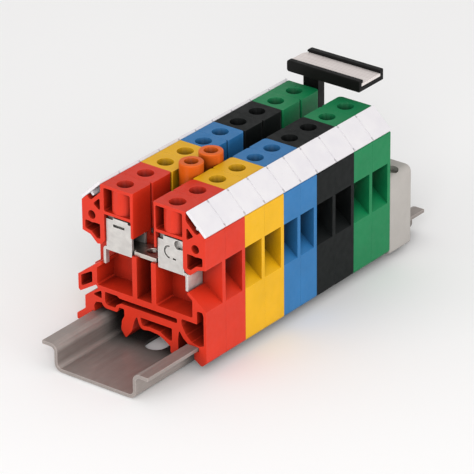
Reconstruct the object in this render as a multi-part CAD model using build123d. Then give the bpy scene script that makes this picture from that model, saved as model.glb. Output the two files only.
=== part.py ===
from build123d import *
import math
import os

# A row of ten screw-clamp terminal blocks on a length of 35 mm top-hat rail, with marker strips, a
# two-pole screw jumper, an end bracket and a label holder. All lengths are in millimetres.
# X runs across the rail, Y along it and Z up. The origin is on the rail's underside, at its centre
# line, under the open front face of the first block.

os.makedirs("parts", exist_ok=True)

# Rail, the standard 35 x 7.5 top-hat section
RAIL_HALF = 17.5
HAT_HALF = 13.5
RAIL_HEIGHT = 7.5
RAIL_SHEET = 1.0
RAIL_INNER_BEND = 1.2
RAIL_FRONT = -20.75
RAIL_BACK = 101.0
SLOT_HALF_WIDTH = 3.1
SLOT_LENGTH = 15.0
SLOT_FIRST = 9.0
SLOT_PITCH = 40.0
SLOT_COUNT = 3

# Blocks: colour, thickness along the rail
WIDE = 8.3
NARROW = 7.2
BLOCKS = [
    ("red_housing_1", WIDE), ("red_housing_2", WIDE),
    ("yellow_housing_1", WIDE), ("yellow_housing_2", WIDE),
    ("blue_housing_1", NARROW), ("blue_housing_2", NARROW),
    ("black_housing_1", WIDE), ("black_housing_2", WIDE),
    ("green_housing_1", WIDE), ("green_housing_2", WIDE),
]
JUMPED = (2, 3)
SEAM = 0.05
BACK_WALL = 1.25

# Housing outline
HALF_WIDTH = 20.25
TOP_HALF = 13.8
TOP = 45.3
SHOULDER = 39.2
LIP_REACH = 22.2
CHANNEL_HALF = 3.4
CHANNEL_FLOOR = 30.9
TOWER_WALL = 0.8
TOWER_TOP_WALL = 0.8
TOWER_BACK_ROUND = 1.1
TOWER_FRONT_ROUND = 0.4
PLATE_LOW = 37.0
PLATE_HIGH = 37.8
RIB_LOW = 2.4
RIB_HIGH = 3.9
BAR_WAY_HALF = 4.2
BAR_WAY = (27.4, 32.4)
THROUGH_LOW = 28.0
TOWER_OUTER = 12.9
TUBE_WALL = 0.15
CHAMBER_FLOOR = 15.6
CHAMBER_SIDE = 15.8

# Clamps
CLAMP_X = 8.55
CAGE_HALF = 4.2
CAGE_LOW = 26.6
CAGE_HIGH = 36.2
CAGE_WALL = 0.8
CAGE_HEAD = 2.7
CAGE_FRONT_GAP = 0.6
CAGE_BACK_GAP = 0.15
FLAP_OUT = 5.4
FLAP_LOW = 22.3
FLAP_ROOT = 3.0
FLAP_SIDE_GAP = 0.1
LEFT_FLAP_DEPTH = 1.4
STRAP_MARK_SHARE = 0.7
STEP_LEFT = [(-5.0, -1.9), (3.0, 5.0)]
STEP_DROP = 0.6
TONGUE_SLOT_X = (-1.9, 1.9)
TONGUE_SLOT_Z = (33.7, 34.5)
ROLL_X = (-5.0, -2.4)
ROLL_DROP = 1.2
KEYHOLE_AT = (2.4, 0.0, 34.7)
KEYHOLE_R = 1.3
KEYHOLE_WAY = (33.6, 35.1)
CURL_OUTER = 1.9
CURL_INNER = 1.35
CURL_DEEP = 0.6
CURL_AT = (-0.4, 32.0)
CURL_TAIL_X = (0.6, 1.7)
CURL_TAIL_Z = (30.1, 30.6)
THREAD_R = 1.75
THREAD_GAP = 0.06
HEAD_R = 2.2
HEAD_HIGH = 2.4
HEAD_GAP = 0.1
DRIVE_SLOT = 0.75
DRIVE_DEEP = 1.1
SCREW_CHAMFER = 0.25
REST_GAP = 0.05
BAR_LOW = 27.45
BAR_HIGH = 28.65
BAR_HALF = 12.0
BAR_SIDE_GAP = 0.15
BAR_PAD_HALF = 3.6

# Jumper
JUMPER_SCREW_R = 1.45
JUMPER_HEAD_R = 1.85
SLEEVE_R = 3.3
SLEEVE_BORE = 1.95
SLEEVE_TOP = 48.0
LINK_LOW = 31.3
LINK_HIGH = 32.5
LINK_BUSH_R = 2.2
LINK_HALF = 2.4
LINK_PAST = 2.8
JUMPER_TIP = 26.4
JUMPER_HEAD_HIGH = 2.2
SLEEVE_ROUND = 0.35

# Marker strips
MARKER_THICK = 0.8
MARKER_GAP = 0.05
MARKER_TOP_INSET = 0.25
MARKER_LOW_INSET = 0.3
MARKER_END_INSET = 0.1
MARKER_NOTCH = 1.0
MARKER_NOTCH_HALF = 0.3
MARKER_GROOVE = 0.25
MARKER_GROOVE_HALF = 0.16
MARKER_LEG = [(4.9, 0.3), (4.9, -0.9), (5.2, -1.2), (5.7, -0.9), (5.7, 0.3)]
MARKER_LEG_FRONT = 0.8
MARKER_LEG_BACK = 2.2

# End bracket, label holder and label
BRACKET_FRONT_GAP = 0.1
BRACKET_DEPTH = 10.3
BRACKET_HALF = 20.1
BRACKET_LOW = 1.4
BRACKET_TOP = 25.6
BRACKET_WALL = 1.6
BRACKET_TOP_WALL = 2.0
BRACKET_EDGE_ROUND = 0.8
BRACKET_FLOOR = 9.4
BRACKET_HOLLOWS = [(-18.2, -13.5), (-4.8, 4.0), (5.4, 13.4)]
BRACKET_SCREW_X = 17.0
BRACKET_SCREW_SHARE = 0.42
BRACKET_SCREW_TIP = 7.65
BRACKET_HEAD_DEEP = 3.6
LABEL_LEFT = -14.4
LABEL_RIGHT = 10.0
LABEL_FRONT = 80.6
LABEL_BACK = 91.6
LABEL_LOW = 48.0
LABEL_TOP = 51.3
LABEL_FLOOR = 49.3
LABEL_GRIP = 50.4
LABEL_RAIL = 1.7
LABEL_GROOVE = 1.1
LABEL_END_ROUND = 0.7
CARD_GAP = 0.06
CARD_SIDE_GAP = 0.15
CARD_END_GAP = 0.1
CARD_TOP = 50.2
CARD_OVERHANG = 0.8
CARD_CORNER = 2.0
STEM_X = (-11.4, -6.3)
STEM_Y = (84.0, 87.0)
STEM_LOW = 9.0
STEM_ROOT = 1.0
WELL_LOW = 7.0
STEM_GAP = 0.12


def prism(points, front, back):
    """Runs a closed X-Z outline along Y. Each point is (x, z), or (x, z, corner radius)."""
    corners = [(p[0], p[1]) for p in points]
    radii = [p[2] if len(p) > 2 else 0 for p in points]
    if any(radii):
        line = FilletPolyline(*corners, radius=radii, close=True)
    else:
        line = Polyline(*corners, close=True)
    return extrude(Plane.XZ.offset(-front) * make_face(line), amount=-(back - front))


def box(x, y, z):
    """Box between two X, two Y and two Z values."""
    size = [b - a for a, b in (x, y, z)]
    middle = [(a + b) / 2 for a, b in (x, y, z)]
    return Pos(*middle) * Box(*size)


def rod(x, y, low, high, radius):
    """Upright cylinder."""
    return Pos(x, y, (low + high) / 2) * Cylinder(radius, high - low)


def flip(points, side):
    """Outline of the right half, or its mirror image for side -1."""
    return [(side * p[0], *p[1:]) for p in points]


def save(shape, name, y=0.0):
    export_step(Pos(0, y, 0) * shape, f"parts/{name}.step")


def block_fronts():
    """Y of each block's front face."""
    fronts = []
    y = 0.0
    for _, pitch in BLOCKS:
        fronts.append(y)
        y += pitch
    return fronts, y


# ---------------------------------------------------------------- rail
def make_rail():
    inner = HAT_HALF - RAIL_SHEET
    flange_low = RAIL_HEIGHT - RAIL_SHEET
    outer_bend = RAIL_INNER_BEND + RAIL_SHEET
    right = [
        (HAT_HALF, 0, outer_bend),
        (HAT_HALF, flange_low, RAIL_INNER_BEND),
        (RAIL_HALF, flange_low),
        (RAIL_HALF, RAIL_HEIGHT),
        (inner, RAIL_HEIGHT, outer_bend),
        (inner, RAIL_SHEET, RAIL_INNER_BEND),
    ]
    rail = prism(right + flip(right[::-1], -1), RAIL_FRONT, RAIL_BACK)
    straight = SLOT_LENGTH - 2 * SLOT_HALF_WIDTH
    for number in range(SLOT_COUNT):
        y = SLOT_FIRST + number * SLOT_PITCH
        slot = box((-SLOT_HALF_WIDTH, SLOT_HALF_WIDTH), (y - straight / 2, y + straight / 2), (-1, 2))
        for end in (-1, 1):
            slot += rod(0, y + end * straight / 2, -1, 2, SLOT_HALF_WIDTH)
        rail -= slot
    return rail


# ---------------------------------------------------------------- housing
# The outline runs clockwise from the top left corner.
TOP_EDGE = [(-TOP_HALF, TOP), (TOP_HALF, TOP), (HALF_WIDTH, SHOULDER)]
RIGHT_FOOT = [
    (HALF_WIDTH, 3.6, 1.0), (18.6, 2.2, 0.8), (16.2, 3.8, 0.4), (16.2, 6.25),
    (17.75, 6.25), (17.75, 7.55), (14.2, 7.55, 0.6), (12.7, 8.7, 0.8), (11.3, 10.6, 0.2),
]
CENTRE_FINGERS = [
    (10.9, 8.0, 2.0), (11.0, 4.6, 1.4), (9.6, 2.6, 0.6), (8.3, 3.4, 0.5), (8.4, 5.0, 0.3),
    (6.4, 6.3, 0.8), (4.4, 7.2, 2.0), (1.5, 7.4, 3.0), (-1.1, 7.0, 1.2), (-2.1, 8.4, 0.8),
    (-2.7, 10.3, 0.2), (-3.6, 8.6, 1.5), (-4.5, 5.4, 2.5), (-6.5, 2.8, 0.4), (-8.0, 5.0, 1.5),
    (-7.7, 7.6, 1.5), (-6.8, 9.2, 1.0), (-6.9, 11.1, 0.3), (-8.6, 11.1, 0.4), (-9.2, 9.5, 0.8),
    (-13.6, 9.5, 1.6), (-14.4, 10.8, 0.3),
]
LEFT_FOOT = [
    (-16.4, 10.4, 0.4), (-17.1, 9.0, 0.5), (-16.8, 7.55), (-17.75, 7.55), (-17.75, 6.25),
    (-16.4, 6.25), (-16.4, 4.8, 0.4), (-18.2, 3.0, 0.8), (-21.0, 2.7, 0.6), (-22.9, 3.7, 0.3),
    (-22.9, 5.2, 0.4), (-20.0, 7.5, 0.6), (-20.0, 11.3, 0.3),
]
SLIT_AND_LIP = [
    (-15.5, 14.6, 0.4), (-16.1, 15.5, 0.4), (-21.6, 12.1, 0.4), (-LIP_REACH, 12.7, 0.3),
    (-LIP_REACH, 17.4, 0.4), (-HALF_WIDTH, 18.8),
]
LEFT_SIDE = [(-HALF_WIDTH, SHOULDER)]

# Pockets of one half, drawn for the right-hand side
WIRE_WAY = [
    (4.1, PLATE_LOW), (4.1, 28.0), (RIB_HIGH, 27.4), (RIB_HIGH, CHAMBER_FLOOR, 0.4),
    (CHAMBER_SIDE, CHAMBER_FLOOR, 0.4), (CHAMBER_SIDE, 20.6, 0.3), (14.2, 21.9, 0.2),
    (14.2, 23.0, 0.4), (24.0, 15.6), (24.0, 30.4), (20.2, 30.4, 0.3), (17.6, 29.8, 0.5),
    (15.3, 27.7, 0.4), (14.0, 28.0, 0.3), (12.95, 29.0), (12.95, PLATE_LOW),
]
MARKER_NOTCH_POCKET = [
    (14.0, 48.0), (14.0, 42.9, 0.2), (16.9, 40.0, 0.3), (17.7, 39.9, 0.3), (19.0, 41.2), (22.0, 46.0),
]
SHOULDER_POCKET = [(14.2, 41.2, 0.3), (14.2, 37.4, 0.3), (16.5, 39.0, 0.3)]
ARM_POCKET = [
    (19.3, 33.6, 0.3), (19.3, 31.2, 0.4), (17.2, 30.8, 0.4), (15.4, 29.2, 0.3), (14.3, 29.4, 0.2),
    (14.3, 33.6, 0.3),
]
BOSS_X = 17.0
BOSS_Z = 35.6
BOSS_R = 2.15
BOSS_HOLE = 1.25

# Pockets that are not mirrored
FLOOR_POCKET = [
    (-13.3, 14.3, 0.4), (-9.2, 14.3, 0.3), (-8.4, 13.8, 0.3), (10.7, 13.8, 0.4), (10.7, 12.4, 0.4),
    (-7.8, 12.4, 0.6), (-9.4, 11.5, 0.4), (-9.8, 10.6, 0.5), (-12.9, 10.6, 0.6), (-13.3, 11.6, 0.4),
]
STRIP_POCKET = [
    (-1.6, 10.4, 0.2), (9.0, 10.4, 0.4), (8.9, 6.6, 0.4), (7.4, 6.9, 0.4), (5.0, 8.2, 1.0),
    (1.4, 8.5, 2.0), (-1.0, 8.1, 0.5),
]
FOOT_POCKET = [
    (12.1, 14.2, 0.4), (17.2, 14.2, 0.1), (17.2, 18.0, 0.4), (19.0, 18.0, 0.4), (19.4, 17.0, 0.3),
    (19.4, 8.4, 0.5), (17.8, 7.9, 0.5), (15.4, 8.4, 0.8), (13.6, 9.9, 1.0), (12.1, 12.6, 1.0),
]
SLIT_POCKET = [(-17.6, 12.4, 0.3), (-14.4, 14.3, 0.3), (-14.4, 11.9, 0.3)]
LIP_POCKET = [(-21.2, 16.9, 0.3), (-17.4, 19.1, 0.3), (-17.4, 15.9, 0.3), (-21.2, 13.6, 0.3)]


def make_housing(pitch):
    deep = pitch - SEAM
    cavity = deep - BACK_WALL
    screw_y = clamp_middle(pitch)
    outline = TOP_EDGE + RIGHT_FOOT + CENTRE_FINGERS + LEFT_FOOT + SLIT_AND_LIP + LEFT_SIDE
    body = prism(outline, 0, deep)
    for side in (-1, 1):
        body -= prism(flip(WIRE_WAY, side), -1, cavity)
        body -= prism(flip(MARKER_NOTCH_POCKET, side), -1, cavity)
        body -= prism(flip(SHOULDER_POCKET, side), -1, cavity)
        arm = prism(flip(ARM_POCKET, side), -1, cavity)
        boss = Pos(side * BOSS_X, 0, BOSS_Z) * Rot(90, 0, 0) * Cylinder(BOSS_R, 4 * pitch)
        body -= arm - boss
        body -= Pos(side * BOSS_X, 0, BOSS_Z) * Rot(90, 0, 0) * Cylinder(BOSS_HOLE, 2 * cavity)
        inner = CHANNEL_HALF + TOWER_WALL
        tower = [
            (inner, PLATE_HIGH, 0.3), (TOWER_OUTER, PLATE_HIGH, 0.3),
            (TOWER_OUTER, TOP - TOWER_TOP_WALL, 0.4), (inner, TOP - TOWER_TOP_WALL, 0.4),
        ]
        body -= prism(flip(tower, side), -1, cavity)
        x = side * CLAMP_X
        tube_r = screw_y - TUBE_WALL
        body += rod(x, screw_y, PLATE_LOW, TOP, tube_r)
        body -= rod(x, screw_y, PLATE_HIGH, TOP + 1, HEAD_R + HEAD_GAP)
        body -= rod(x, screw_y, PLATE_LOW - 1, PLATE_HIGH + 1, THREAD_R + THREAD_GAP)
    # The clear way over the bar, under the towers' inner walls
    body -= box((-BAR_WAY_HALF, BAR_WAY_HALF), (-1, cavity), BAR_WAY)
    body -= box((-RIB_LOW, RIB_LOW), (-1, cavity), (CHAMBER_FLOOR, THROUGH_LOW))
    body -= box((-CHANNEL_HALF, CHANNEL_HALF), (-1, cavity), (THROUGH_LOW, TOP + 1))
    body -= box((-CHANNEL_HALF, CHANNEL_HALF), (-1, deep + 1), (CHANNEL_FLOOR, TOP + 1))
    body -= tower_rounds(deep)
    for pocket in (FLOOR_POCKET, STRIP_POCKET, FOOT_POCKET, SLIT_POCKET, LIP_POCKET):
        body -= prism(pocket, -1, cavity)
    return body


def tower_rounds(deep):
    """What rounding takes off the towers' upright corners beside the centre channel."""
    waste = None
    for side in (-1, 1):
        for y, inward, radius in ((0, 1, TOWER_FRONT_ROUND), (deep, -1, TOWER_BACK_ROUND)):
            x = side * CHANNEL_HALF
            block = box(
                sorted((x, x + side * radius)), sorted((y, y + inward * radius)), (CHANNEL_FLOOR, TOP + 1)
            )
            block -= rod(x + side * radius, y + inward * radius, CHANNEL_FLOOR - 1, TOP + 2, radius)
            waste = block if waste is None else waste + block
    return waste


def clamp_middle(pitch):
    """Y of the clamping screws' axes from the block's front face."""
    cavity = pitch - SEAM - BACK_WALL
    return (CAGE_FRONT_GAP + cavity - CAGE_BACK_GAP) / 2


def cage_half_depth(pitch):
    return clamp_middle(pitch) - CAGE_FRONT_GAP


# ---------------------------------------------------------------- clamps
def make_cage(pitch, side):
    """Box clamp around the bar, with its flap bent down outside the chamber's wire way."""
    middle = clamp_middle(pitch)
    half = cage_half_depth(pitch)
    y = (middle - half, middle + half)
    inner_y = (y[0] + CAGE_WALL, y[1] - CAGE_WALL)
    cage = box((-CAGE_HALF, CAGE_HALF), y, (CAGE_LOW, CAGE_HIGH))
    cage -= box((-CAGE_HALF - 1, CAGE_HALF + 1), inner_y, (CAGE_LOW + CAGE_WALL, CAGE_HIGH - CAGE_HEAD))
    cage -= rod(0, middle, CAGE_LOW + 2 * CAGE_WALL, CAGE_HIGH + 1, THREAD_R + THREAD_GAP)
    flap_in = FLAP_OUT - CAGE_WALL
    flap = [
        (FLAP_ROOT, CAGE_LOW), (flap_in, CAGE_LOW, 0.3), (flap_in, FLAP_LOW), (FLAP_OUT, FLAP_LOW),
        (FLAP_OUT, CAGE_LOW + CAGE_WALL, 1.0), (FLAP_ROOT, CAGE_LOW + CAGE_WALL),
    ]
    flap_front = y[0] + FLAP_SIDE_GAP
    flap_back = flap_front + LEFT_FLAP_DEPTH if side < 0 else y[1] - FLAP_SIDE_GAP
    cage += prism(flip(flap, side), flap_front, flap_back)
    # How deep the marks of the folded strap go into the front face, short of the thread
    mark = (y[0] - 1, y[0] + STRAP_MARK_SHARE * (half - THREAD_R - THREAD_GAP))
    if side < 0:
        # Plain face: a stepped top edge and the slot that the strap's tongue went through
        for x in STEP_LEFT:
            cage -= box(x, mark, (CAGE_HIGH - STEP_DROP, CAGE_HIGH + 1))
        cage -= box(TONGUE_SLOT_X, mark, TONGUE_SLOT_Z)
    else:
        # Joined face: the strap's end rolls over the top, beside a keyhole-shaped lock
        cage -= box(ROLL_X, mark, (CAGE_HIGH - ROLL_DROP, CAGE_HIGH + 1))
        opening = Pos(*KEYHOLE_AT) * Rot(90, 0, 0) * Cylinder(KEYHOLE_R, 2 * mark[1])
        opening += box((KEYHOLE_AT[0], CAGE_HALF + 1), (0, mark[1]), KEYHOLE_WAY)
        cage -= opening
        ring = Cylinder(CURL_OUTER, 2 * CURL_DEEP) - Cylinder(CURL_INNER, 2 * CURL_DEEP)
        ring -= box((0, CURL_OUTER + 1), (-CURL_OUTER, CURL_OUTER), (-CURL_DEEP, CURL_DEEP))
        cage -= Pos(CURL_AT[0], y[0], CURL_AT[1]) * Rot(90, 0, 0) * ring
        cage -= box(CURL_TAIL_X, (y[0] - 1, y[0] + CURL_DEEP), CURL_TAIL_Z)
    return Pos(side * CLAMP_X, 0, 0) * cage


def make_screw(x, y, tip, shoulder, shank_r, head_r, head_high):
    """Slotted cheese-head screw standing upright, its head on the shoulder."""
    screw = rod(x, y, tip, shoulder, shank_r)
    screw = chamfer(screw.edges().group_by(Axis.Z)[0], SCREW_CHAMFER)
    head = rod(x, y, shoulder, shoulder + head_high, head_r)
    head = chamfer(head.edges().group_by(Axis.Z)[-1], SCREW_CHAMFER)
    screw += head
    top = shoulder + head_high
    slot_y = (y - DRIVE_SLOT / 2, y + DRIVE_SLOT / 2)
    return screw - box((x - 2 * head_r, x + 2 * head_r), slot_y, (top - DRIVE_DEEP, top + 1))


def make_bar(pitch, front):
    """Current bar between a block's two clamps, with the jumper's threaded hole."""
    y = front + clamp_middle(pitch)
    half = cage_half_depth(pitch) - CAGE_WALL - BAR_SIDE_GAP
    bar = box((-BAR_HALF, BAR_HALF), (y - half, y + half), (BAR_LOW, BAR_HIGH))
    pad = cage_half_depth(pitch) - BAR_SIDE_GAP
    bar += box((-BAR_PAD_HALF, BAR_PAD_HALF), (y - pad, y + pad), (BAR_LOW, BAR_HIGH))
    return bar - rod(0, y, BAR_LOW - 1, BAR_HIGH + 1, JUMPER_SCREW_R + THREAD_GAP)


# ---------------------------------------------------------------- markers
def make_marker_strip(side, fronts, end):
    """Strip of ten tags on one sloped shoulder, with a snap leg for each block."""
    slope = Vector(HALF_WIDTH - TOP_HALF, SHOULDER - TOP).normalized()
    normal = Vector(-slope.Y, slope.X)
    corner = Vector(TOP_HALF, TOP)

    def at(along, out):
        p = corner + slope * along + normal * out
        return (side * p.X, p.Y)

    length = math.hypot(HALF_WIDTH - TOP_HALF, SHOULDER - TOP)
    low = MARKER_GAP
    high = MARKER_GAP + MARKER_THICK
    last = length - MARKER_LOW_INSET
    plate = [at(MARKER_TOP_INSET, low), at(MARKER_TOP_INSET, high), at(last, high), at(last, low)]
    strip = prism(plate, MARKER_END_INSET, end - MARKER_END_INSET)
    leg = [at(along, out) for along, out in MARKER_LEG]
    for front, (_, pitch) in zip(fronts, BLOCKS):
        strip += prism(leg, front + MARKER_LEG_FRONT, front + pitch - MARKER_LEG_BACK)
    floor = high - MARKER_GROOVE
    groove = [at(0, floor), at(0, high + 1), at(length, high + 1), at(length, floor)]
    for y in fronts[1:]:
        strip -= prism(groove, y - MARKER_GROOVE_HALF, y + MARKER_GROOVE_HALF)
        for inner, outer in ((0.0, MARKER_NOTCH), (last - MARKER_NOTCH, length)):
            cut = [at(inner, -0.5), at(inner, 2), at(outer, 2), at(outer, -0.5)]
            strip -= prism(cut, y - MARKER_NOTCH_HALF, y + MARKER_NOTCH_HALF)
    return strip


# ---------------------------------------------------------------- end bracket and label
def make_bracket(front, holder_well):
    back = front + BRACKET_DEPTH
    half = BRACKET_HALF
    right = [
        (half, BRACKET_TOP, 2.0), (half, 2.4, 1.0), (17.6, BRACKET_LOW, 1.0), (16.2, 3.4, 0.5),
        (16.2, 6.25), (17.8, 6.25), (17.8, 7.6),
    ]
    body = prism(right + flip(right[::-1], -1), front, back)
    ridge = body.edges().filter_by(Axis.Z).sort_by(Axis.X)
    body = fillet([ridge[0], ridge[1], ridge[-1], ridge[-2]], BRACKET_EDGE_ROUND)
    for x in BRACKET_HOLLOWS:
        body -= box(x, (front + BRACKET_WALL, back + 1), (BRACKET_FLOOR, BRACKET_TOP - BRACKET_TOP_WALL))
    body -= box(*holder_well)
    y = front + BRACKET_DEPTH * BRACKET_SCREW_SHARE
    shoulder = BRACKET_TOP - BRACKET_HEAD_DEEP
    body -= rod(BRACKET_SCREW_X, y, BRACKET_SCREW_TIP - 1, BRACKET_TOP + 1, THREAD_R + THREAD_GAP)
    body -= rod(BRACKET_SCREW_X, y, shoulder, BRACKET_TOP + 1, HEAD_R + HEAD_GAP)
    screw = make_screw(BRACKET_SCREW_X, y, BRACKET_SCREW_TIP, shoulder, THREAD_R, HEAD_R, HEAD_HIGH)
    return body, screw


def make_label_holder():
    x = (LABEL_LEFT, LABEL_RIGHT)
    past = (LABEL_LEFT - 1, LABEL_RIGHT + 1)
    head = box(x, (LABEL_FRONT, LABEL_BACK), (LABEL_LOW, LABEL_TOP))
    left_end = head.edges().filter_by(Axis.Y).group_by(Axis.X)[0]
    head = fillet(left_end, LABEL_END_ROUND)
    groove_y = (LABEL_FRONT + LABEL_GROOVE, LABEL_BACK - LABEL_GROOVE)
    open_y = (LABEL_FRONT + LABEL_RAIL, LABEL_BACK - LABEL_RAIL)
    head -= box(past, groove_y, (LABEL_FLOOR, LABEL_GRIP))
    head -= box(past, open_y, (LABEL_FLOOR, LABEL_TOP + 1))
    stem = box(STEM_X, STEM_Y, (STEM_LOW, LABEL_LOW))
    root = [
        (STEM_X[0] - STEM_ROOT, LABEL_LOW), (STEM_X[0], LABEL_LOW - STEM_ROOT),
        (STEM_X[1], LABEL_LOW - STEM_ROOT), (STEM_X[1] + STEM_ROOT, LABEL_LOW),
    ]
    return head + stem + prism(root, *STEM_Y)


def make_label_card():
    card = box(
        (LABEL_LEFT - CARD_OVERHANG, LABEL_RIGHT - CARD_END_GAP),
        (LABEL_FRONT + LABEL_GROOVE + CARD_SIDE_GAP, LABEL_BACK - LABEL_GROOVE - CARD_SIDE_GAP),
        (LABEL_FLOOR + CARD_GAP, CARD_TOP),
    )
    ends = card.edges().filter_by(Axis.Z).sort_by(Axis.X)[:2]
    return fillet(ends, CARD_CORNER)


# ---------------------------------------------------------------- the whole row
def main():
    fronts, stack_end = block_fronts()
    save(make_rail(), "din_rail")
    housings = {}
    clamps = {}
    for pitch in (WIDE, NARROW):
        housings[pitch] = make_housing(pitch)
        clamps[pitch] = [make_cage(pitch, side) for side in (-1, 1)]
    bars = []
    for number, (front, (name, pitch)) in enumerate(zip(fronts, BLOCKS), start=1):
        save(housings[pitch], name, front)
        y = front + clamp_middle(pitch)
        for side, word, cage in zip((-1, 1), ("left", "right"), clamps[pitch]):
            save(cage, f"clamp_cage_{word}_{number}", front)
            screw = make_screw(
                side * CLAMP_X, y, BAR_HIGH + REST_GAP, PLATE_HIGH + REST_GAP, THREAD_R, HEAD_R, HEAD_HIGH
            )
            save(screw, f"clamp_screw_{word}_{number}")
        bars.append(make_bar(pitch, front))

    jumper_y = [fronts[index] + clamp_middle(BLOCKS[index][1]) for index in JUMPED]
    link_y = (jumper_y[0] - LINK_PAST, jumper_y[1] + LINK_PAST)
    link = box((-LINK_HALF, LINK_HALF), link_y, (LINK_LOW, LINK_HIGH))
    sleeves = []
    for number, y in enumerate(jumper_y, start=1):
        link += rod(0, y, BAR_HIGH + REST_GAP, LINK_HIGH, LINK_BUSH_R)
        sleeve = rod(0, y, LINK_HIGH + REST_GAP, SLEEVE_TOP, SLEEVE_R)
        sleeve = fillet(sleeve.edges().group_by(Axis.Z)[-1], SLEEVE_ROUND)
        sleeves.append(sleeve - rod(0, y, LINK_HIGH - 1, SLEEVE_TOP + 1, SLEEVE_BORE))
        screw = make_screw(
            0, y, JUMPER_TIP, LINK_HIGH + REST_GAP, JUMPER_SCREW_R, JUMPER_HEAD_R, JUMPER_HEAD_HIGH
        )
        save(screw, f"jumper_screw_{number}")
    for y in jumper_y:
        link -= rod(0, y, BAR_HIGH - 1, LINK_HIGH + 1, JUMPER_SCREW_R + THREAD_GAP)
    save(Compound(bars + [link]), "conductor_bars")
    save(Compound(sleeves), "jumper_sleeves")
    save(Compound([make_marker_strip(side, fronts, stack_end) for side in (-1, 1)]), "marker_strips")

    well = (
        (STEM_X[0] - STEM_GAP, STEM_X[1] + STEM_GAP),
        (STEM_Y[0] - STEM_GAP, STEM_Y[1] + STEM_GAP),
        (WELL_LOW, BRACKET_TOP + 1),
    )
    bracket, bracket_screw = make_bracket(stack_end + BRACKET_FRONT_GAP, well)
    save(bracket, "end_bracket")
    save(bracket_screw, "end_bracket_screw")
    save(make_label_holder(), "label_holder")
    save(make_label_card(), "label_card")


main()
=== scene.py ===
"""Looks, light and camera for a row of terminal blocks on a top-hat rail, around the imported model."""

import math

import bpy
from mathutils import Matrix, Vector

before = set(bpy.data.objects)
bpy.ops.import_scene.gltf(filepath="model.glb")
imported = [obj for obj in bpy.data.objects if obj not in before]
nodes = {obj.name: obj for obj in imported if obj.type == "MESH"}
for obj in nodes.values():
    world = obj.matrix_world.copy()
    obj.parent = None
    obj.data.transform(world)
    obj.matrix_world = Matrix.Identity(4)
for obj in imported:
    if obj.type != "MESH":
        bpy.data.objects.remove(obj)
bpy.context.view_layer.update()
MM = 0.001

# ---------------------------------------------------------------- camera
CAMERA_AZIMUTH = 37.78
CAMERA_ELEVATION = 26.48
CAMERA_ROLL = -0.54
CAMERA_DISTANCE = 0.8
CAMERA_TARGET = Vector((0.1424, -0.14437, 0.13419))
CAMERA_LENS = 303.26
CAMERA_SENSOR = 36
CAMERA_CLIP_END = 20


def make_camera():
    az, el, roll = (math.radians(a) for a in (CAMERA_AZIMUTH, CAMERA_ELEVATION, CAMERA_ROLL))
    back = Vector((math.sin(az) * math.cos(el), -math.cos(az) * math.cos(el), math.sin(el)))
    level = Vector((math.cos(az), math.sin(az), 0))
    rise = back.cross(level)
    right = level * math.cos(roll) + rise * math.sin(roll)
    up = rise * math.cos(roll) - level * math.sin(roll)
    camera = bpy.data.objects.new("camera", bpy.data.cameras.new("camera"))
    bpy.context.collection.objects.link(camera)
    place = Matrix((right, up, back)).transposed().to_4x4()
    place.translation = CAMERA_TARGET + back * CAMERA_DISTANCE
    camera.matrix_world = place
    camera.data.lens = CAMERA_LENS
    camera.data.sensor_width = CAMERA_SENSOR
    camera.data.clip_end = CAMERA_CLIP_END
    bpy.context.scene.camera = camera


# ---------------------------------------------------------------- light and floor
WORLD_TINT = (1.0, 0.99, 0.985, 1)
WORLD_STRENGTH = 0.75
LIGHT_AIM = (0, 0.04, 0.025)
# name, place in metres, width and height in metres, power in watts
LIGHTS = (
    ("key", (0.55, -0.75, 0.55), (0.5, 0.5), 5.0),
    ("side", (0.95, -0.1, 0.12), (0.5, 0.4), 2.5),
    ("front", (-0.35, -0.9, 0.3), (0.5, 0.4), 1.75),
)
FLOOR_HALF = 3.0
FLOOR_DROP = 0.0002
FLOOR_TONE = (0.93, 0.93, 0.93, 1)
FLOOR_ROUGHNESS = 0.9


def area_light(name, place, aim, size, power):
    lamp = bpy.data.lights.new(name, "AREA")
    lamp.shape = "RECTANGLE"
    lamp.size, lamp.size_y = size
    lamp.energy = power
    obj = bpy.data.objects.new(name, lamp)
    bpy.context.collection.objects.link(obj)
    obj.location = place
    obj.rotation_euler = (Vector(aim) - Vector(place)).to_track_quat("-Z", "Y").to_euler()


def make_studio():
    world = bpy.data.worlds.new("studio")
    bpy.context.scene.world = world
    world.use_nodes = True
    background = world.node_tree.nodes["Background"]
    background.inputs["Color"].default_value = WORLD_TINT
    background.inputs["Strength"].default_value = WORLD_STRENGTH
    for name, place, size, power in LIGHTS:
        area_light(name, place, LIGHT_AIM, size, power)


def make_floor():
    half = FLOOR_HALF
    floor_mesh = bpy.data.meshes.new("floor")
    floor_mesh.from_pydata(
        [(-half, -half, 0), (half, -half, 0), (half, half, 0), (-half, half, 0)], [], [(0, 1, 2, 3)]
    )
    floor = bpy.data.objects.new("floor", floor_mesh)
    bpy.context.collection.objects.link(floor)
    floor.location.z = -FLOOR_DROP
    paper = bpy.data.materials.new("floor_paper")
    paper.use_nodes = True
    shader = paper.node_tree.nodes["Principled BSDF"]
    shader.inputs["Base Color"].default_value = FLOOR_TONE
    shader.inputs["Roughness"].default_value = FLOOR_ROUGHNESS
    floor_mesh.materials.append(paper)


# ---------------------------------------------------------------- materials
def srgb(r, g, b):
    """Linear colour from 0-255 display values."""
    def linear(v):
        v /= 255
        return v / 12.92 if v <= 0.04045 else ((v + 0.055) / 1.055) ** 2.4
    return (linear(r), linear(g), linear(b), 1)


# openness below which a pocket gets the full painted shade, and above which it gets none
RECESS_SHADE_DEEP = 0.15
RECESS_SHADE_OPEN = 0.72


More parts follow.
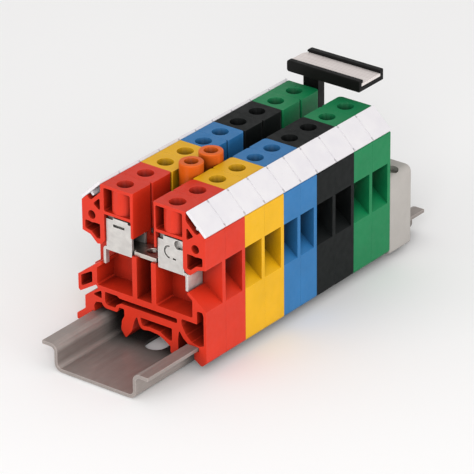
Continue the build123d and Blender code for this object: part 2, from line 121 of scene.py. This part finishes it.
class Graph:
    """Small helper around one material's node tree."""

    def __init__(self, name):
        self.material = bpy.data.materials.new(name)
        self.material.use_nodes = True
        self.tree = self.material.node_tree
        self.shader = self.tree.nodes["Principled BSDF"]
        self.coordinates = self.add("ShaderNodeTexCoord").outputs["Object"]

    def add(self, kind, **settings):
        node = self.tree.nodes.new(kind)
        for key, value in settings.items():
            setattr(node, key, value)
        return node

    def join(self, source, target):
        self.tree.links.new(source, target)

    def stretched(self, scale):
        mapping = self.add("ShaderNodeMapping")
        mapping.inputs["Scale"].default_value = scale
        self.join(self.coordinates, mapping.inputs["Vector"])
        return mapping.outputs["Vector"]

    def noise(self, per_mm, detail=2.0, rough=0.5, vector=None):
        node = self.add("ShaderNodeTexNoise")
        node.inputs["Scale"].default_value = per_mm / MM
        node.inputs["Detail"].default_value = detail
        node.inputs["Roughness"].default_value = rough
        self.join(vector or self.coordinates, node.inputs["Vector"])
        return node.outputs["Fac"]

    def spread(self, value, low, high, start=0.3, end=0.7):
        node = self.add("ShaderNodeMapRange")
        for key, number in (("From Min", start), ("From Max", end), ("To Min", low), ("To Max", high)):
            node.inputs[key].default_value = number
        self.join(value, node.inputs["Value"])
        return node.outputs["Result"]

    def blend(self, factor, first, second):
        node = self.add("ShaderNodeMix", data_type="RGBA")
        self.join(factor, node.inputs["Factor"])
        for socket, value in ((node.inputs[6], first), (node.inputs[7], second)):
            if isinstance(value, tuple):
                socket.default_value = value
            else:
                self.join(value, socket)
        return node.outputs[2]

    def edge(self, radius_mm, sensitivity=0.1):
        """1 on convex and concave edges, 0 on flat faces."""
        bevel = self.add("ShaderNodeBevel", samples=4)
        bevel.inputs["Radius"].default_value = radius_mm * MM
        geometry = self.add("ShaderNodeNewGeometry")
        dot = self.add("ShaderNodeVectorMath", operation="DOT_PRODUCT")
        self.join(bevel.outputs["Normal"], dot.inputs[0])
        self.join(geometry.outputs["Normal"], dot.inputs[1])
        return self.spread(dot.outputs["Value"], 1.0, 0.0, 1.0 - sensitivity, 1.0)

    def paint_recess_shade(self, colour, reach_mm, recess_shade, behind_mm=None):
        """Paints shade into a colour: darkens it towards the bottom of pockets and holes, where shade
        gathers.

        With behind_mm, only the part of the piece behind that Y gets the painted shade.
        """
        # painted shade: ambient occlusion scales the base colour down in pockets and holes
        occlusion = self.add("ShaderNodeAmbientOcclusion", samples=6)
        occlusion.inputs["Distance"].default_value = reach_mm * MM
        scale = self.add("ShaderNodeVectorMath", operation="SCALE")
        self.join(colour, scale.inputs[0])
        tone = self.spread(occlusion.outputs["AO"], recess_shade, 1.0, RECESS_SHADE_DEEP, RECESS_SHADE_OPEN)
        if behind_mm is not None:
            along = self.add("ShaderNodeSeparateXYZ")
            self.join(self.coordinates, along.inputs[0])
            # painted shade is limited to the part behind behind_mm
            shade_span = self.spread(along.outputs["Y"], 0, 1, (behind_mm - 3) * MM, (behind_mm + 4) * MM)
            mixed = self.add("ShaderNodeMix", data_type="FLOAT")
            mixed.inputs[2].default_value = 1.0
            self.join(shade_span, mixed.inputs[0])
            self.join(tone, mixed.inputs[3])
            tone = mixed.outputs[0]
        self.join(tone, scale.inputs["Scale"])
        return scale.outputs["Vector"]

    def bump(self, height, depth_mm, strength=1.0, after=None):
        node = self.add("ShaderNodeBump")
        node.inputs["Distance"].default_value = depth_mm * MM
        node.inputs["Strength"].default_value = strength
        self.join(height, node.inputs["Height"])
        if after is not None:
            self.join(after, node.inputs["Normal"])
        return node.outputs["Normal"]

    def colour(self, source):
        self.join(source, self.shader.inputs["Base Color"])

    def roughness(self, source):
        self.join(source, self.shader.inputs["Roughness"])

    def normal(self, source):
        self.join(source, self.shader.inputs["Normal"])

    def fixed(self, socket, value):
        self.shader.inputs[socket].default_value = value


def shade(colour, factor):
    return tuple(c * factor for c in colour[:3]) + (1,)


def moulded_plastic(name, colour, gloss=0.46, edge_highlight_gain=1.25, shine=0.25, recess_shade=0.2):
    """Injection-moulded polyamide: fine spark-eroded grain, soft flow clouds, a patchy painted highlight
    making edges paler, painted shade in pockets.
    """
    g = Graph(name)
    cloud = g.noise(0.12, 3.0)
    flow = g.blend(g.spread(cloud, 0, 1), shade(colour, 0.93), shade(colour, 1.05))
    fleck = g.spread(g.noise(2.2, 4.0, 0.6), 0, 1, 0.62, 0.8)
    body = g.blend(fleck, flow, shade(colour, 0.86))
    # painted highlight: edges tinted paler in patches, standing in for light catching the rounded edges
    highlight_colour = tuple(min(1.0, c * edge_highlight_gain + 0.012) for c in colour[:3]) + (1,)
    edge_highlight_mask = g.add("ShaderNodeMath", operation="MULTIPLY")
    g.join(g.edge(0.25), edge_highlight_mask.inputs[0])
    g.join(g.spread(g.noise(0.6, 3.0), 0.25, 0.9), edge_highlight_mask.inputs[1])
    # painted shade: the colour darkens towards the bottom of pockets and holes
    g.colour(g.paint_recess_shade(g.blend(edge_highlight_mask.outputs[0], body, highlight_colour), 9.0, recess_shade))
    g.roughness(g.spread(g.noise(0.5, 3.0), gloss - 0.06, gloss + 0.08))
    grain = g.bump(g.noise(6.0, 2.0, 0.6), 0.012, 0.5)
    g.normal(g.bump(g.noise(0.25, 2.0), 0.05, 0.25, after=grain))
    g.fixed("Specular IOR Level", shine)
    return g.material


def plated_metal(name, colour, rough, streak, grain_mm=0.02, metallic=1.0, recess_shade_paint=(5.0, 0.2)):
    """Plated sheet: streaks along the rolling direction, mottled plating, edges painted brighter as a
    highlight, painted shade in pockets.
    """
    g = Graph(name)
    lines = g.noise(1.0, 3.0, 0.6, vector=g.stretched(streak))
    mottle = g.noise(0.35, 4.0)
    base = g.blend(g.spread(lines, 0, 1), shade(colour, 0.86), shade(colour, 1.08))
    base = g.blend(g.spread(mottle, 0, 0.5), base, shade(colour, 0.8))
    # painted highlight: every edge tinted brighter than the plating
    metal_highlight_colour = tuple(min(1.0, c * 1.3 + 0.03) for c in colour[:3]) + (1,)
    # painted shade: the colour darkens towards the bottom of pockets
    g.colour(g.paint_recess_shade(g.blend(g.edge(0.3), base, metal_highlight_colour), *recess_shade_paint))
    g.roughness(g.spread(lines, rough - 0.08, rough + 0.1))
    fine = g.bump(lines, grain_mm, 0.35)
    g.normal(g.bump(g.noise(3.0, 3.0), 0.008, 0.3, after=fine))
    g.fixed("Metallic", metallic)
    return g.material


def marker_plastic():
    """White tag material: smooth, faintly rose-grey in random patches."""
    g = Graph("marker_plastic")
    tint = g.blend(g.spread(g.noise(0.2, 2.0), 0, 1), srgb(215, 212, 216), srgb(221, 218, 220))
    dust = g.spread(g.noise(1.4, 4.0, 0.6), 0, 0.5, 0.6, 0.85)
    g.colour(g.blend(dust, tint, srgb(198, 192, 198)))
    g.roughness(g.spread(g.noise(0.8, 3.0), 0.42, 0.58))
    g.normal(g.bump(g.noise(4.0, 2.0), 0.008, 0.4))
    return g.material


def label_film():
    """Ribbed label film, with fine lines along its length."""
    g = Graph("label_film")
    ribs = g.add("ShaderNodeTexWave", wave_type="BANDS", bands_direction="Y", wave_profile="SIN")
    ribs.inputs["Scale"].default_value = 0.42 / MM
    ribs.inputs["Distortion"].default_value = 0.35
    ribs.inputs["Detail"].default_value = 1.0
    g.join(g.coordinates, ribs.inputs["Vector"])
    streak = g.noise(1.0, 3.0, 0.6, vector=g.stretched((0.15, 2.5, 1.0)))
    tone = g.blend(g.spread(ribs.outputs["Fac"], 0, 1, 0.1, 0.9), srgb(196, 184, 181), srgb(226, 217, 214))
    g.colour(g.blend(g.spread(streak, 0, 0.6), tone, srgb(232, 226, 222)))
    g.roughness(g.spread(streak, 0.38, 0.6))
    g.normal(g.bump(ribs.outputs["Fac"], 0.06, 0.6))
    return g.material


# ---------------------------------------------------------------- finish of the CAD nodes
WELD_REACH = 1e-6
FLAT_ANGLE = 0.5
CREASE_ANGLE = 28


def soften(obj, width_mm, segments=2):
    """Joins the mesh's split corners and rounds its edges, as moulding and blanking leave them."""
    weld = obj.modifiers.new("weld", "WELD")
    weld.merge_threshold = WELD_REACH
    planar = obj.modifiers.new("planar", "DECIMATE")
    planar.decimate_type = "DISSOLVE"
    planar.angle_limit = math.radians(FLAT_ANGLE)
    round_edge = obj.modifiers.new("edge", "BEVEL")
    round_edge.width = width_mm * MM
    round_edge.segments = segments
    round_edge.limit_method = "ANGLE"
    round_edge.angle_limit = math.radians(CREASE_ANGLE)
    round_edge.use_clamp_overlap = True
    round_edge.harden_normals = True


def dress(name, material, width_mm, segments=2):
    obj = nodes[name]
    obj.data.materials.clear()
    obj.data.materials.append(material)
    soften(obj, width_mm, segments)


# colour, roughness, paler share of the painted edge highlight, specular level
HOUSINGS = {
    "red": (srgb(205, 46, 22), 0.46, 1.25, 0.25),
    "yellow": (srgb(222, 168, 8), 0.46, 1.25, 0.25),
    "blue": (srgb(42, 110, 165), 0.46, 1.25, 0.25),
    "green": (srgb(6, 119, 70), 0.46, 1.25, 0.25),
    "black": (srgb(15, 18, 18), 0.5, 1.25, 0.12),
}
HOUSING_EDGE = 0.16
CAGE_EDGE = 0.2
SCREW_EDGE = 0.08


def dress_nodes():
    plastics = {word: moulded_plastic(f"{word}_moulding", *look) for word, look in HOUSINGS.items()}
    orange = moulded_plastic("orange_moulding", srgb(212, 92, 14), gloss=0.4)
    grey = moulded_plastic("grey_moulding", srgb(171, 166, 161), 0.5, 1.08, 0.25, recess_shade=0.5)
    black = moulded_plastic("holder_moulding", srgb(9, 8, 7), 0.5, 1.25, 0.15)
    cage = plated_metal("cage_plating", srgb(212, 209, 205), 0.42, (0.5, 0.5, 0.8), 0.006, 0.7)
    screw = plated_metal("screw_plating", srgb(176, 172, 166), 0.34, (2.0, 2.0, 0.5))
    bar = plated_metal("bar_tinning", srgb(214, 206, 198), 0.34, (0.2, 3.0, 3.0))
    # the rail gets strong painted shade in the trough under the blocks, behind Y = 0
    rail = plated_metal(
        "rail_plating", srgb(160, 151, 146), 0.46, (2.0, 0.06, 2.0), 0.02, 0.55, recess_shade_paint=(16.0, 0.04, 0.0)
    )
    for name in nodes:
        if "housing" in name:
            dress(name, plastics[name.split("_")[0]], HOUSING_EDGE)
        elif name.startswith("clamp_cage"):
            dress(name, cage, CAGE_EDGE)
        elif "screw" in name:
            dress(name, screw, SCREW_EDGE)
    dress("conductor_bars", bar, 0.12)
    dress("jumper_sleeves", orange, 0.12)
    dress("marker_strips", marker_plastic(), 0.1)
    dress("end_bracket", grey, 0.3, segments=3)
    dress("label_holder", black, 0.22)
    dress("label_card", label_film(), 0.1)
    dress("din_rail", rail, 0.1)


make_camera()
make_studio()
make_floor()
dress_nodes()
bpy.context.scene.view_settings.view_transform = "Standard"
